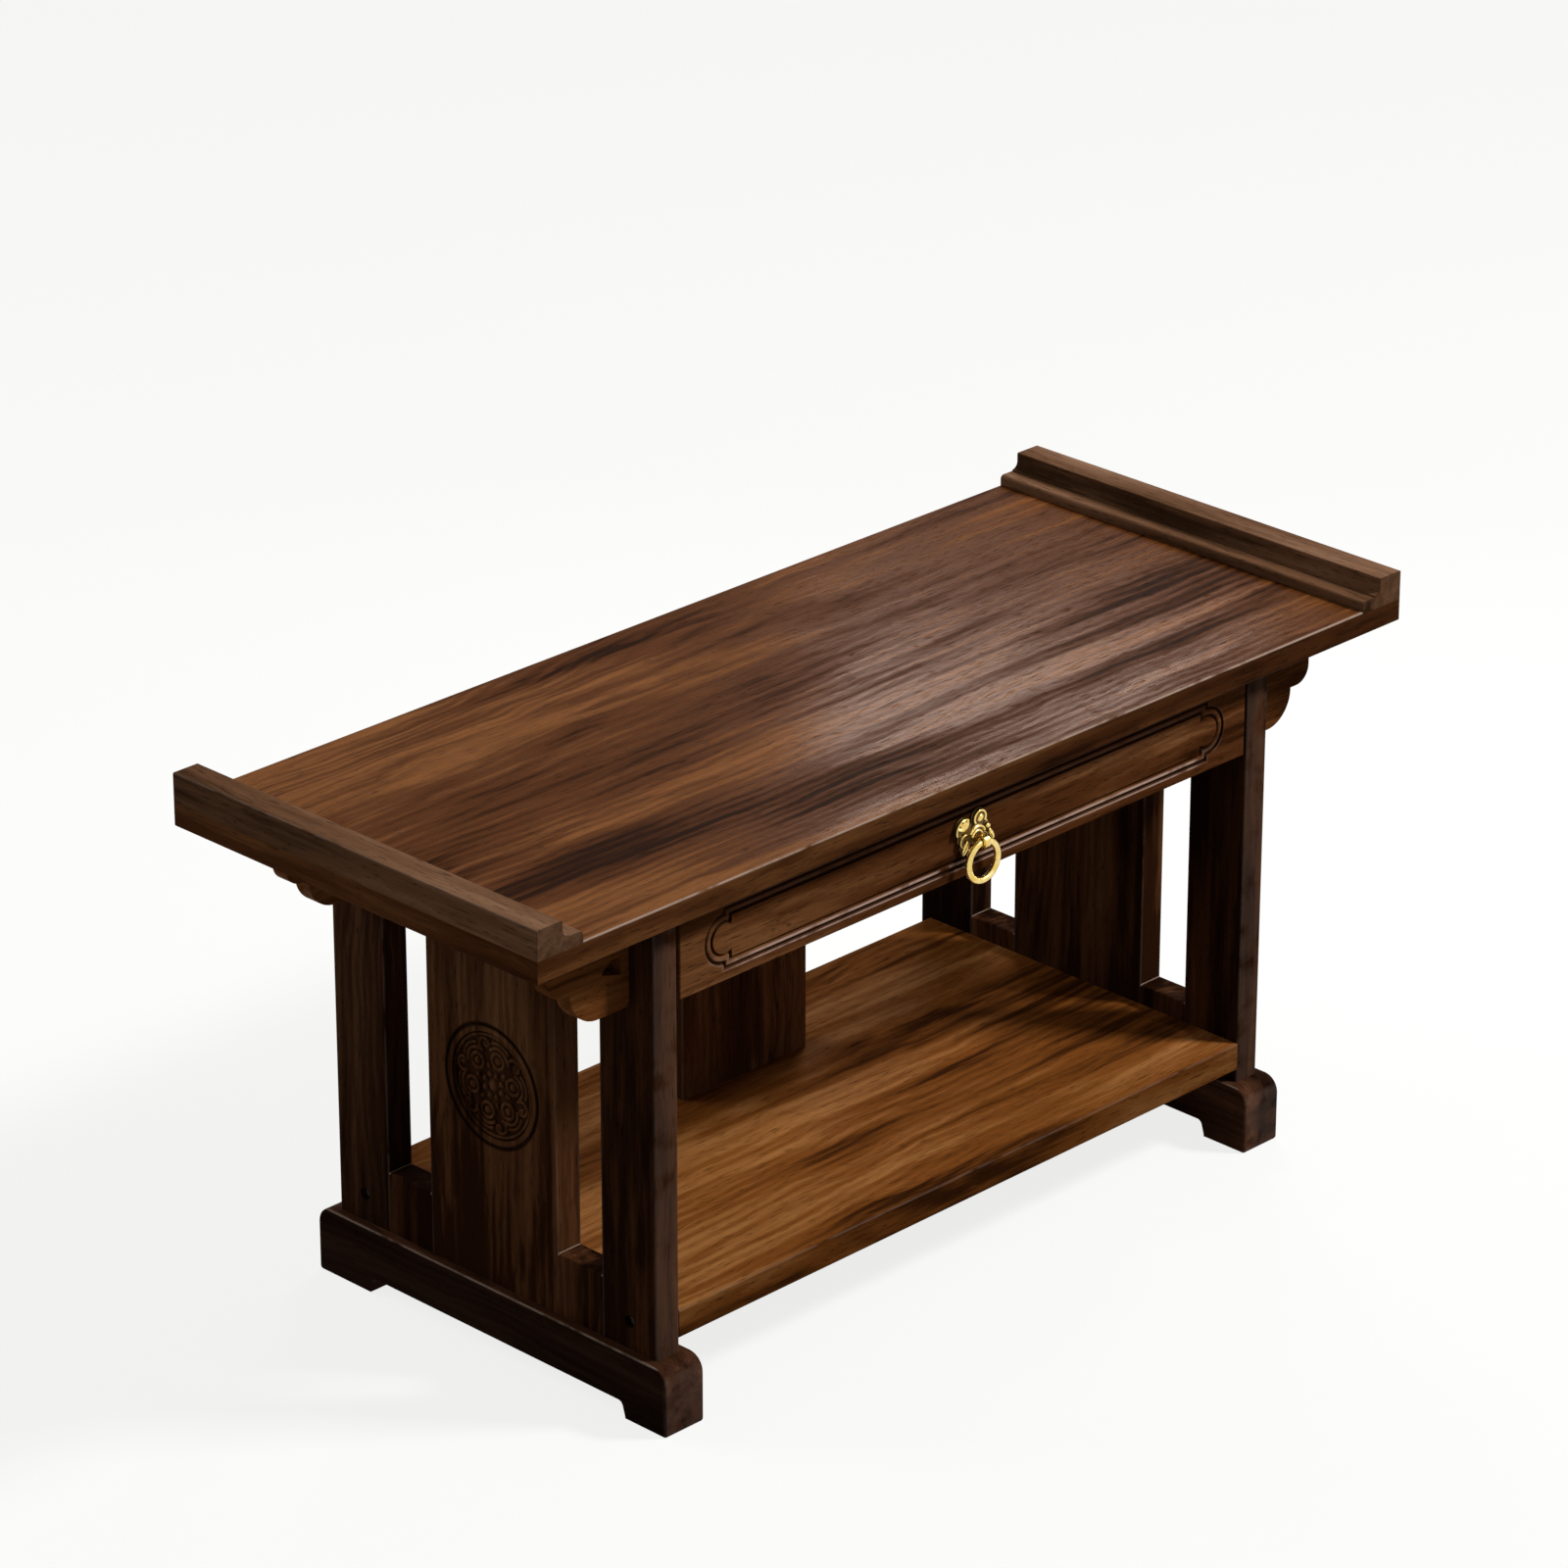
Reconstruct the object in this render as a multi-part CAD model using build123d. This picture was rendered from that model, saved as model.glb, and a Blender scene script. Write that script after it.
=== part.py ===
from build123d import *
import os

# An altar table with one drawer, a lower shelf, slotted sides and sled feet.
# Millimetres. X runs along the table, the front faces -Y, Z is up.
# The origin is on the floor under the middle of the table.

# Top board and its end mouldings
table_length = 800.0
table_depth = 332.0
table_height = 371.5
top_thickness = 17.0
board_ease = 1.0
housing_depth = 1.5
moulding_rise = 19.2
moulding_width = 38.0
moulding_flat_width = 21.0
moulding_quirk = 6.2
cove_radius = 5.0
cove_step = 1.0
nose_radius = 2.7
crown_ease = 0.9

# Sides, glued up from upright staves
side_clear_width = 533.0
side_thickness = 20.0
side_depth = 297.0
post_width = 48.5
slot_width = 41.0
slot_floor_height = 91.0
slot_height = 201.0
post_ease = 1.5
sill_ease = 1.2

# Carved roundel on the outer face of each centre board
roundel_radius = 43.0
roundel_height = 188.8
rim_width = 4.1
rim_groove_width = 1.7
rim_groove_depth = 1.6
field_depth = 2.5
boss_radius = 5.2
boss_rise = 1.8

# Sled feet
foot_overhang = 14.7
foot_thickness = 34.0
foot_height = 47.4
foot_end_radius = 12.0
front_pad_length = 36.2
rear_pad_length = 48.7
arch_height = 12.2
arch_lean = 3.6
arch_radius = 4.2
pad_corner_radius = 1.8
pad_ease = 2.6
foot_ease = 1.8
bead_height = 4.4
bead_groove = 1.2

# Lower shelf
shelf_thickness = 20.0
shelf_height = 76.6
shelf_rear_setback = 8.0
shelf_ease = 1.3

# Upright board between shelf and top, behind the drawer
back_board_width = 118.0
back_board_thickness = 20.0
back_board_place = 59.0
back_board_ease = 1.2

# Lobed brackets under the overhang
bracket_width = 67.8
bracket_drop = 66.0
bracket_thickness = 13.0
bracket_setback = 22.0
big_lobe_width = 49.6
big_lobe_radius = 23.0
big_lobe_heel_radius = 4.5
small_lobe_drop = 42.0
small_lobe_radius = 12.0
eye_side_gap = 6.3
eye_width = 17.8
eye_bottom_drop = 42.3
eye_outer_rise = 5.0
eye_height = 12.6
eye_corner_radius = 1.2

# Drawer
drawer_side_gap = 2.7
drawer_top_gap = 2.3
drawer_back_gap = 0.5
drawer_front_height = 60.0
drawer_front_thickness = 17.0
drawer_front_ease = 0.9
drawer_wall = 11.0
drawer_wall_height = 38.0
drawer_housing = 6.0
drawer_bottom_thickness = 5.0
drawer_bottom_rise = 7.0
drawer_groove_depth = 5.5

# Raised bead on the drawer front
bead_rise = 29.0
bead_half_length = 225.0
bead_half_height = 20.5
bead_end_radius = 16.5
bead_neck_radius = 1.8
bead_band = 5.5
bead_cut_width = 1.6
bead_cut_depth = 1.6
bead_round = 1.4

# Runners, cleats and back apron
runner_width = 18.0
runner_height = 9.0
runner_front_gap = 0.9
cleat_gap = 1.2
apron_thickness = 17.0

# Brass pull. Each lobe of its plate is a place and a radius in shares of the plate's size.
plate_thickness = 3.2
plate_relief = 1.6
plate_size = 34.0
heart_share = 0.235
wing_shares = (-0.36, 0.2, 0.215)
cheek_shares = (0.36, -0.08, 0.082)
lobe_shares = (wing_shares, cheek_shares, (0.07, 0.3, 0.19), (-0.32, -0.03, 0.17), (-0.29, -0.2, 0.135),
               (0.15, -0.17, 0.19), (0.29, 0.07, 0.085), (0.43, -0.2, 0.075))
tip_shares = ((-0.43, -0.17), (-0.36, -0.39), (-0.14, -0.27))
relief_inset_share = 0.026
pierce_shares = (-0.31, -0.1, 0.045)
slit_shares = (-0.33, 0.045)
slit_length = 7.0
slit_width = 1.1
slit_turn = -30.0
ring_wire_radius = 2.3
ring_radius = 13.5
eye_clearance = 0.55
eye_wall = 1.8
eye_thickness = 4.6
eye_neck_thickness = 3.4
eye_neck_ease = 0.3
pull_stand_off = 5.4
eye_drop = 4.0
eye_shank_radius = 1.5
leg_length = 10.0
leg_width = 2.4
leg_thickness = 1.4
pin_head_radius = 1.4
pin_head_height = 1.0
pin_radius = 0.7
pin_length = 10.0

# Screws and dowels
screw_shank = 4.5
screw_head = 9.0
screw_head_height = 2.8
shelf_screw_length = 50.0
shelf_screw_inset = 24.4
shelf_screw_sink = 4.5
foot_screw_length = 50.0
foot_screw_sink = 14.0
foot_screw_post_inset = 12.0
foot_screw_board_inset = 30.0
cleat_screw_length = 24.0
runner_screw_length = 30.0
strip_screw_inset = 28.0
dowel_diameter = 8.0
dowel_length = 36.0
dowel_in_post = 12.0
dowel_spacing = 32.0
top_dowel_length = 24.0
top_dowel_rise = 10.0
back_screw_length = 40.0
back_fixing_spacing = 70.0

# One overrun serves every cut
overrun = 1.0

# Places worked out from the sizes above
half_length = table_length / 2
half_depth = table_depth / 2
underside = table_height - top_thickness
side_inner = side_clear_width / 2
side_outer = side_inner + side_thickness
side_middle = side_inner + side_thickness / 2
post_face = side_depth / 2
foot_length = side_depth + 2 * foot_overhang
post_inner = post_face - post_width
board_edge = post_inner - slot_width
slot_top = slot_floor_height + slot_height
shelf_rear = post_face - shelf_rear_setback
shelf_underside = shelf_height - shelf_thickness
drawer_half_width = side_inner - drawer_side_gap
drawer_front_back = -post_face + drawer_front_thickness
drawer_front_top = underside - drawer_top_gap
drawer_front_bottom = drawer_front_top - drawer_front_height
apron_inner = post_face - apron_thickness
drawer_rear = back_board_place - drawer_back_gap
back_board_middle = back_board_place + back_board_thickness / 2
drawer_side_inner = drawer_half_width - drawer_wall
drawer_housing_end = drawer_front_back - drawer_housing
runner_bottom = drawer_front_bottom + runner_front_gap
runner_top = runner_bottom + runner_height
wall_top = runner_top + drawer_wall_height
bottom_underside = runner_top + drawer_bottom_rise
bottom_top = bottom_underside + drawer_bottom_thickness
bottom_half_width = drawer_side_inner + drawer_groove_depth
cleat_bottom = wall_top + cleat_gap
strip_front = drawer_front_back + runner_front_gap
bead_centre_height = drawer_front_bottom + bead_rise
plate_face = -post_face - plate_thickness
pull_axis_y = plate_face - pull_stand_off
pull_axis_z = bead_centre_height - eye_drop


def block(x_low, x_high, y_low, y_high, z_low, z_high):
    """A board between two corners."""
    middle = Pos((x_low + x_high) / 2, (y_low + y_high) / 2, (z_low + z_high) / 2)
    return middle * Box(x_high - x_low, y_high - y_low, z_high - z_low)


def flat(low_u, high_u, low_v, high_v):
    """A rectangle between two corners of a drawing plane."""
    middle = Pos((low_u + high_u) / 2, (low_v + high_v) / 2)
    return middle * Rectangle(high_u - low_u, high_v - low_v)


def disc(u, v, radius):
    """A circle at a place of a drawing plane."""
    return Pos(u, v) * Circle(radius)


def near(shape, u, v):
    """The corner of a flat shape that lies closest to a place."""
    place = Vector(u, v)
    return shape.vertices().sort_by(lambda corner: (Vector(corner) - place).length)[0]


def across(shape, half_width):
    """Stretch a drawing of the XZ plane both ways along Y."""
    return extrude(Plane.XZ * shape, amount=half_width, both=True)


def along_sides(shape, half_width):
    """Stretch a drawing of the YZ plane both ways along X."""
    return extrude(Plane.YZ * shape, amount=half_width, both=True)


def mirrored_x(shape):
    return mirror(shape, about=Plane.YZ)


def mirrored_y(shape):
    return mirror(shape, about=Plane.XZ)


def front_upright_edges(board):
    """The two upright edges of a board's front face."""
    return board.edges().filter_by(Axis.Z).group_by(Axis.Y)[0]


def screw(length):
    """A countersunk wood screw, its head at the origin and its point up +Z."""
    head = Cone(screw_head / 2, screw_shank / 2, screw_head_height)
    shank = Cylinder(screw_shank / 2, length - screw_head_height)
    return Pos(0, 0, screw_head_height / 2) * head + Pos(0, 0, (length + screw_head_height) / 2) * shank


def screw_hole(length, sink):
    """The room of a screw with the open shaft that leads to its head."""
    shaft_length = sink + overrun
    shaft = Cylinder(screw_head / 2, shaft_length)
    return screw(length) + Pos(0, 0, -shaft_length / 2) * shaft


def shelf_screw_places():
    """Where the shelf's screws enter the outer faces of the sides."""
    z_place = shelf_height - shelf_thickness / 2
    places = []
    for side in (-1, 1):
        for end in (-1, 1):
            x_place = side * (side_outer - shelf_screw_sink)
            y_place = end * (post_face - shelf_screw_inset)
            places.append(Pos(x_place, y_place, z_place) * Rot(0, -side * 90, 0))
    return places


def foot_screw_places():
    """Where the feet's screws rise into the staves."""
    stations = ((post_face - foot_screw_post_inset, 0), (board_edge - foot_screw_board_inset, arch_height))
    places = []
    for side in (-1, 1):
        for end in (-1, 1):
            for y_place, rise in stations:
                places.append(Pos(side * side_middle, end * y_place, rise + foot_screw_sink))
    return places


def strip_stations():
    """Three even stations along a runner or a cleat."""
    front = strip_front + strip_screw_inset
    rear = apron_inner - strip_screw_inset
    return (front, (front + rear) / 2, rear)


def cleat_screw_places():
    """Where the cleats' screws rise into the top."""
    x_place = side_inner - runner_width / 2
    places = []
    for side in (-1, 1):
        for y_place in strip_stations():
            places.append(Pos(side * x_place, y_place, cleat_bottom))
    return places


def runner_screw_places():
    """Where the runners' screws enter, from the middle outwards."""
    z_place = (runner_bottom + runner_top) / 2
    places = []
    for side in (-1, 1):
        for y_place in strip_stations():
            place = Pos(side * (side_inner - runner_width), y_place, z_place)
            places.append(place * Rot(0, side * 90, 0))
    return places


def apron_dowel_places():
    """Centres of the dowels that tie the apron to the rear posts."""
    x_place = side_inner + dowel_in_post - dowel_length / 2
    y_place = apron_inner + apron_thickness / 2
    z_middle = (drawer_front_bottom + underside) / 2
    places = []
    for side in (-1, 1):
        for step in (-1, 1):
            z_place = z_middle + step * dowel_spacing / 2
            places.append(Pos(side * x_place, y_place, z_place) * Rot(0, 90, 0))
    return places


def back_fixing_places(z_place):
    """Two places along the back board at one height."""
    return [Pos(side * back_fixing_spacing / 2, back_board_middle, z_place) for side in (-1, 1)]


def back_screw_places():
    """Where screws rise through the shelf into the back board."""
    return back_fixing_places(shelf_underside)


def top_dowel_places():
    """Centres of the dowels between the back board and the top."""
    return back_fixing_places(underside + top_dowel_rise - top_dowel_length / 2)


def bore(piece, places, tool):
    """Cut the same tool at every place."""
    for place in places:
        piece = piece - place * tool
    return piece


def group(places, tool):
    """The same small piece at every place, as separate solids."""
    return Compound(children=[place * tool for place in places])


# The top

def top_board():
    board = block(-half_length, half_length, -half_depth, half_depth, underside, table_height)
    long_edges = board.edges().filter_by(Axis.X).group_by(Axis.Z)
    board = fillet(long_edges[-1], housing_depth)
    board = fillet(board.edges().filter_by(Axis.X).group_by(Axis.Z)[0], board_ease)
    seat = table_height - housing_depth
    inner = half_length - moulding_width
    for low, high in ((-half_length - overrun, -inner), (inner, half_length + overrun)):
        board = board - block(low, high, -half_depth - overrun, half_depth + overrun,
                              seat, table_height + overrun)
    board = bore(board, top_dowel_places(), Cylinder(dowel_diameter / 2, top_dowel_length))
    return bore(board, cleat_screw_places(), screw(cleat_screw_length))


def end_moulding():
    """Right-hand end moulding: crown, quirk, cove and a rounded ledge."""
    seat = table_height - housing_depth
    crown = table_height + moulding_rise
    inner = half_length - moulding_width
    flat_edge = half_length - moulding_flat_width
    cove_foot = flat_edge - cove_radius
    cove_centre = crown - moulding_quirk
    ledge = cove_centre - cove_radius - cove_step
    profile = flat(inner, half_length, seat, ledge) + flat(cove_foot, half_length, seat, crown)
    profile = profile - flat(cove_foot - overrun, flat_edge, cove_centre, crown + overrun)
    profile = profile - disc(cove_foot, cove_centre, cove_radius)
    profile = fillet(near(profile, inner, ledge), nose_radius)
    profile = fillet([near(profile, half_length, crown), near(profile, flat_edge, crown)], crown_ease)
    return across(profile, half_depth)


# The sides

def plain_post():
    """Front post of the right-hand side, before its holes."""
    post = block(side_inner, side_outer, -post_face, -post_inner, foot_height, underside)
    return fillet(front_upright_edges(post), post_ease)


def bored_post(post):
    """A post with the holes of its screws."""
    post = bore(post, shelf_screw_places(), screw_hole(shelf_screw_length, shelf_screw_sink))
    post = bore(post, foot_screw_places(), screw(foot_screw_length))
    return bore(post, runner_screw_places(), screw(runner_screw_length))


def front_post():
    return bored_post(plain_post())


def rear_post():
    post = bored_post(mirrored_y(plain_post()))
    return bore(post, apron_dowel_places(), Cylinder(dowel_diameter / 2, dowel_length))


def roundel_cut():
    """Ring groove and sunk field of the roundel, with a low domed boss left standing."""
    half_section = Plane(origin=(side_outer, 0, roundel_height), x_dir=(0, 1, 0), z_dir=(0, 0, -1))
    rim_outer = roundel_radius - rim_groove_width
    dome_radius = (boss_radius ** 2 + boss_rise ** 2) / (2 * boss_rise)
    groove = flat(rim_outer, roundel_radius, -rim_groove_depth, overrun)
    field = flat(0, rim_outer - rim_width, -field_depth, overrun)
    field = field - disc(0, boss_rise - field_depth - dome_radius, dome_radius)
    turning_axis = Axis((side_outer, 0, roundel_height), (1, 0, 0))
    return [revolve(half_section * groove, turning_axis), revolve(half_section * field, turning_axis)]


def centre_board():
    """Wide middle stave of the right-hand side, with its roundel on the outer face."""
    board = block(side_inner, side_outer, -board_edge, board_edge, foot_height, underside)
    for cut in roundel_cut():
        board = board - cut
    board = bore(board, foot_screw_places(), screw(foot_screw_length))
    return bore(board, runner_screw_places(), screw(runner_screw_length))


def slot_sill():
    """Short stave under the front slot of the right-hand side."""
    sill = block(side_inner, side_outer, -post_inner, -board_edge, foot_height, slot_floor_height)
    return fillet(sill.edges().filter_by(Axis.Y).group_by(Axis.Z)[-1], sill_ease)


def slot_header():
    """Short stave above the front slot of the right-hand side."""
    return block(side_inner, side_outer, -post_inner, -board_edge, slot_top, underside)


def arch_outline():
    """The shallow arch under a foot, joined to a strip below the floor."""
    front = front_pad_length - foot_length / 2
    rear = foot_length / 2 - rear_pad_length
    strip = flat(-foot_length / 2, foot_length / 2, -arch_height, 0)
    outline = strip + Polygon((front, 0), (front + arch_lean, arch_height), (rear - arch_lean, arch_height),
                              (rear, 0), align=None)
    for bottom, top in ((front, front + arch_lean), (rear, rear - arch_lean)):
        outline = fillet(near(outline, bottom, 0), pad_corner_radius)
        outline = fillet(near(outline, top, arch_height), arch_radius)
    return outline


def foot():
    """Right-hand sled foot: rounded upper ends, beaded upper arrises and an arched underside."""
    half = foot_length / 2
    outline = flat(-half, half, 0, foot_height)
    for end in (-1, 1):
        outline = fillet(near(outline, end * half, foot_height), foot_end_radius)
        outline = fillet(near(outline, end * half, 0), pad_ease)
    body = Pos(side_middle, 0, 0) * along_sides(outline, foot_thickness / 2)
    body = fillet(body.faces().sort_by(Axis.X)[0].edges(), foot_ease)
    body = fillet(body.faces().sort_by(Axis.X)[-1].edges(), foot_ease)
    body = body - Pos(side_middle, 0, 0) * along_sides(arch_outline(), foot_thickness / 2 + overrun)
    groove_top = foot_height - bead_height
    for face_x in (side_middle - foot_thickness / 2, side_middle + foot_thickness / 2):
        body = body - block(face_x - bead_groove / 2, face_x + bead_groove / 2, -half - overrun, half + overrun,
                            groove_top - bead_groove, groove_top)
    return bore(body, foot_screw_places(), screw_hole(foot_screw_length, foot_screw_sink))


# The shelf and the brackets

def shelf():
    board = block(-side_inner, side_inner, -post_face, shelf_rear, shelf_underside, shelf_height)
    board = fillet(board.edges().filter_by(Axis.X), shelf_ease)
    board = bore(board, shelf_screw_places(), screw(shelf_screw_length))
    return bore(board, back_screw_places(), screw(back_screw_length))


def back_board():
    """Upright board that stands on the shelf and carries the middle of the top."""
    half_width = back_board_width / 2
    back_face = back_board_place + back_board_thickness
    board = block(-half_width, half_width, back_board_place, back_face, shelf_height, underside)
    board = fillet(board.edges().filter_by(Axis.Z), back_board_ease)
    board = bore(board, back_screw_places(), screw(back_screw_length))
    return bore(board, top_dowel_places(), Cylinder(dowel_diameter / 2, top_dowel_length))


def bracket():
    """Front right bracket: two lobes and a pierced eye, seen from the front."""
    big_edge = side_outer + big_lobe_width
    small_edge = side_outer + bracket_width
    lower = underside - bracket_drop
    step = underside - small_lobe_drop
    big = flat(side_outer, big_edge, lower, underside)
    big = fillet(near(big, big_edge, lower), big_lobe_radius)
    big = fillet(near(big, side_outer, lower), big_lobe_heel_radius)
    small = flat(side_outer, small_edge, step, underside)
    small = fillet(near(small, small_edge, step), small_lobe_radius)
    eye_left = side_outer + eye_side_gap
    eye_right = eye_left + eye_width
    eye_low = underside - eye_bottom_drop
    eye_high = eye_low + eye_height
    eye = Polygon((eye_left, eye_low), (eye_right, eye_low + eye_outer_rise),
                  ((eye_left + eye_right) / 2, eye_high), (eye_left, eye_high), align=None)
    eye = fillet(eye.vertices(), eye_corner_radius)
    lobed = across(big + small - eye, bracket_thickness / 2)
    return Pos(0, -post_face + bracket_setback + bracket_thickness / 2, 0) * lobed


# The drawer's space

def runner():
    """Right-hand runner that carries the drawer side."""
    strip = block(side_inner - runner_width, side_inner, strip_front, apron_inner, runner_bottom, runner_top)
    return bore(strip, runner_screw_places(), screw(runner_screw_length))


def cleat():
    """Right-hand cleat above the drawer side."""
    strip = block(side_inner - runner_width, side_inner, strip_front, apron_inner, cleat_bottom, underside)
    return bore(strip, cleat_screw_places(), screw(cleat_screw_length))


def back_apron():
    board = block(-side_inner, side_inner, apron_inner, post_face, drawer_front_bottom, underside)
    return bore(board, apron_dowel_places(), Cylinder(dowel_diameter / 2, dowel_length))


# The drawer

def bead_outline(inset):
    """Outline of the carved frame: a long panel whose ends bulge in a round."""
    outline = flat(-bead_half_length + inset, bead_half_length - inset,
                   -bead_half_height + inset, bead_half_height - inset)
    end_radius = bead_end_radius - inset
    for end in (-1, 1):
        outline = outline + disc(end * bead_half_length, 0, end_radius)
        for level in (-1, 1):
            neck = near(outline, end * (bead_half_length - inset), level * end_radius)
            outline = fillet(neck, bead_neck_radius)
    return outline


def drawer_front():
    board = block(-drawer_half_width, drawer_half_width, -post_face, drawer_front_back,
                  drawer_front_bottom, drawer_front_top)
    board = fillet(board.faces().sort_by(Axis.Y)[0].edges(), drawer_front_ease)
    face = Plane(origin=(0, -post_face, bead_centre_height), x_dir=(1, 0, 0), z_dir=(0, -1, 0))
    half_cut = bead_cut_width / 2
    channel = bead_outline(-half_cut) - bead_outline(bead_band + half_cut)
    bead = bead_outline(half_cut) - bead_outline(bead_band - half_cut)
    raised = extrude(face * bead, amount=-bead_cut_depth)
    raised = fillet(raised.faces().sort_by(Axis.Y)[0].edges(), bead_round)
    board = board - (extrude(face * channel, amount=-bead_cut_depth) - raised)
    for side in (-1, 1):
        middle = side * (drawer_half_width + drawer_side_inner) / 2
        board = board - block(middle - drawer_wall / 2, middle + drawer_wall / 2, drawer_housing_end,
                              drawer_front_back + overrun, runner_top, wall_top)
    board = board - block(-bottom_half_width, bottom_half_width, drawer_housing_end,
                          drawer_front_back + overrun, bottom_underside, bottom_top)
    board = board - shank_room()
    return bore(board, pin_places(), pin())


def drawer_side():
    """Right-hand drawer side with the groove for the bottom."""
    board = block(drawer_side_inner, drawer_half_width, drawer_housing_end, drawer_rear, runner_top, wall_top)
    return board - block(drawer_side_inner - overrun, bottom_half_width, drawer_housing_end - overrun,
                         drawer_rear + overrun, bottom_underside, bottom_top)


def drawer_back():
    return block(-drawer_side_inner, drawer_side_inner, drawer_rear - drawer_wall, drawer_rear,
                 bottom_top, wall_top)


def drawer_bottom():
    return block(-bottom_half_width, bottom_half_width, drawer_housing_end, drawer_rear,
                 bottom_underside, bottom_top)


# The brass pull

def on_plate(out_share, rise_share):
    """A place on the plate, counted from its middle in shares of its size."""
    return Pos(plate_size * out_share, plate_size * rise_share)


def plate_lobes(inset):
    """The plate's lobes, each drawn in from its edge by the inset."""
    outline = Circle(plate_size * heart_share - inset)
    for out_share, rise_share, radius_share in lobe_shares:
        outline = outline + on_plate(out_share, rise_share) * Circle(plate_size * radius_share - inset)
    return outline


def pull_plate():
    """Cast plate: lobes with a raised inner layer, a pointed tip, a pierced eye and a slit."""
    back = Plane(origin=(0, -post_face, bead_centre_height), x_dir=(1, 0, 0), z_dir=(0, -1, 0))
    tip = Polygon(*[(plate_size * out_share, plate_size * rise_share) for out_share, rise_share in tip_shares],
                  align=None)
    plate = extrude(back * (plate_lobes(0) + tip), amount=plate_thickness - plate_relief)
    plate = plate + extrude(back * plate_lobes(plate_size * relief_inset_share), amount=plate_thickness)
    out_share, rise_share, radius_share = pierce_shares
    eye = on_plate(out_share, rise_share) * Circle(plate_size * radius_share)
    slit = on_plate(*slit_shares) * Rot(0, 0, slit_turn) * Rectangle(slit_length, slit_width)
    for opening in (eye, slit):
        plate = plate - extrude(back * opening, amount=plate_thickness + overrun)
    plate = plate - shank_room()
    return bore(plate, pin_places(), pin())


def shank_room():
    """The hole for the eye's shank, through the plate and the drawer front."""
    length = drawer_front_thickness + plate_thickness + overrun
    return Pos(0, drawer_front_back - length / 2, pull_axis_z) * Rot(90, 0, 0) * Cylinder(eye_shank_radius, length)


def pull_eye():
    """Eye with a shank through the drawer front, its two legs bent flat inside."""
    hole_radius = ring_wire_radius + eye_clearance
    place = Pos(0, pull_axis_y, pull_axis_z) * Rot(0, 90, 0)
    shank_length = drawer_front_back + leg_thickness - pull_axis_y
    shank = Pos(0, pull_axis_y + shank_length / 2, pull_axis_z) * Rot(90, 0, 0)
    eye = place * Cylinder(hole_radius + eye_wall, eye_thickness)
    neck_half = eye_thickness / 2 - eye_neck_ease
    eye = eye + block(-neck_half, neck_half, pull_axis_y, plate_face,
                      pull_axis_z - eye_neck_thickness / 2, pull_axis_z + eye_neck_thickness / 2)
    eye = eye + shank * Cylinder(eye_shank_radius, shank_length)
    eye = eye + block(-leg_length, leg_length, drawer_front_back, drawer_front_back + leg_thickness,
                      pull_axis_z - leg_width / 2, pull_axis_z + leg_width / 2)
    return eye - place * Cylinder(hole_radius, eye_thickness + overrun)


def pull_ring():
    """Ring that hangs in the eye."""
    place = Pos(0, pull_axis_y, pull_axis_z - ring_radius) * Rot(90, 0, 0)
    return place * Torus(ring_radius, ring_wire_radius)


def pin():
    """Flat-headed pin, its head's underside at the origin and its point down -Z."""
    head = Pos(0, 0, pin_head_height / 2) * Cylinder(pin_head_radius, pin_head_height)
    return head + Pos(0, 0, -pin_length / 2) * Cylinder(pin_radius, pin_length)


def pin_places():
    """Two pins, one in the plate's wing and one in its cheek."""
    places = []
    for out_share, rise_share, radius_share in (wing_shares, cheek_shares):
        z_place = bead_centre_height + plate_size * rise_share
        places.append(Pos(plate_size * out_share, plate_face, z_place) * Rot(90, 0, 0))
    return places


def write(name, piece):
    export_step(piece, f"parts/{name}.step")


def main():
    os.makedirs("parts", exist_ok=True)
    write("top_board", top_board())
    for name, build in (("end_moulding", end_moulding), ("front_post", front_post),
                        ("rear_post", rear_post), ("centre_board", centre_board),
                        ("foot", foot), ("drawer_runner", runner), ("top_cleat", cleat),
                        ("drawer_side", drawer_side)):
        piece = build()
        write(name + "_right", piece)
        write(name + "_left", mirrored_x(piece))
    for name, build in (("slot_sill", slot_sill), ("slot_header", slot_header), ("bracket", bracket)):
        front = build()
        rear = mirrored_y(front)
        write(name + "_front_right", front)
        write(name + "_front_left", mirrored_x(front))
        write(name + "_rear_right", rear)
        write(name + "_rear_left", mirrored_x(rear))
    write("shelf", shelf())
    write("back_board", back_board())
    write("back_apron", back_apron())
    write("drawer_front", drawer_front())
    write("drawer_back", drawer_back())
    write("drawer_bottom", drawer_bottom())
    write("pull_plate", pull_plate())
    write("pull_eye", pull_eye())
    write("pull_ring", pull_ring())
    write("pull_pins", group(pin_places(), pin()))
    write("shelf_screws", group(shelf_screw_places(), screw(shelf_screw_length)))
    write("foot_screws", group(foot_screw_places(), screw(foot_screw_length)))
    write("cleat_screws", group(cleat_screw_places(), screw(cleat_screw_length)))
    write("runner_screws", group(runner_screw_places(), screw(runner_screw_length)))
    write("back_board_screws", group(back_screw_places(), screw(back_screw_length)))
    write("back_board_dowels", group(top_dowel_places(), Cylinder(dowel_diameter / 2, top_dowel_length)))
    write("apron_dowels", group(apron_dowel_places(), Cylinder(dowel_diameter / 2, dowel_length)))


main()
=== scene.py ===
# %% [markdown]
# The table's solids come from its construction file, and this lesson gives them their looks. The first cell
# brings the solids in.

# %% Bring in the table
import math
import random
import bmesh
import bpy
from mathutils import Matrix, Vector


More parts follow.
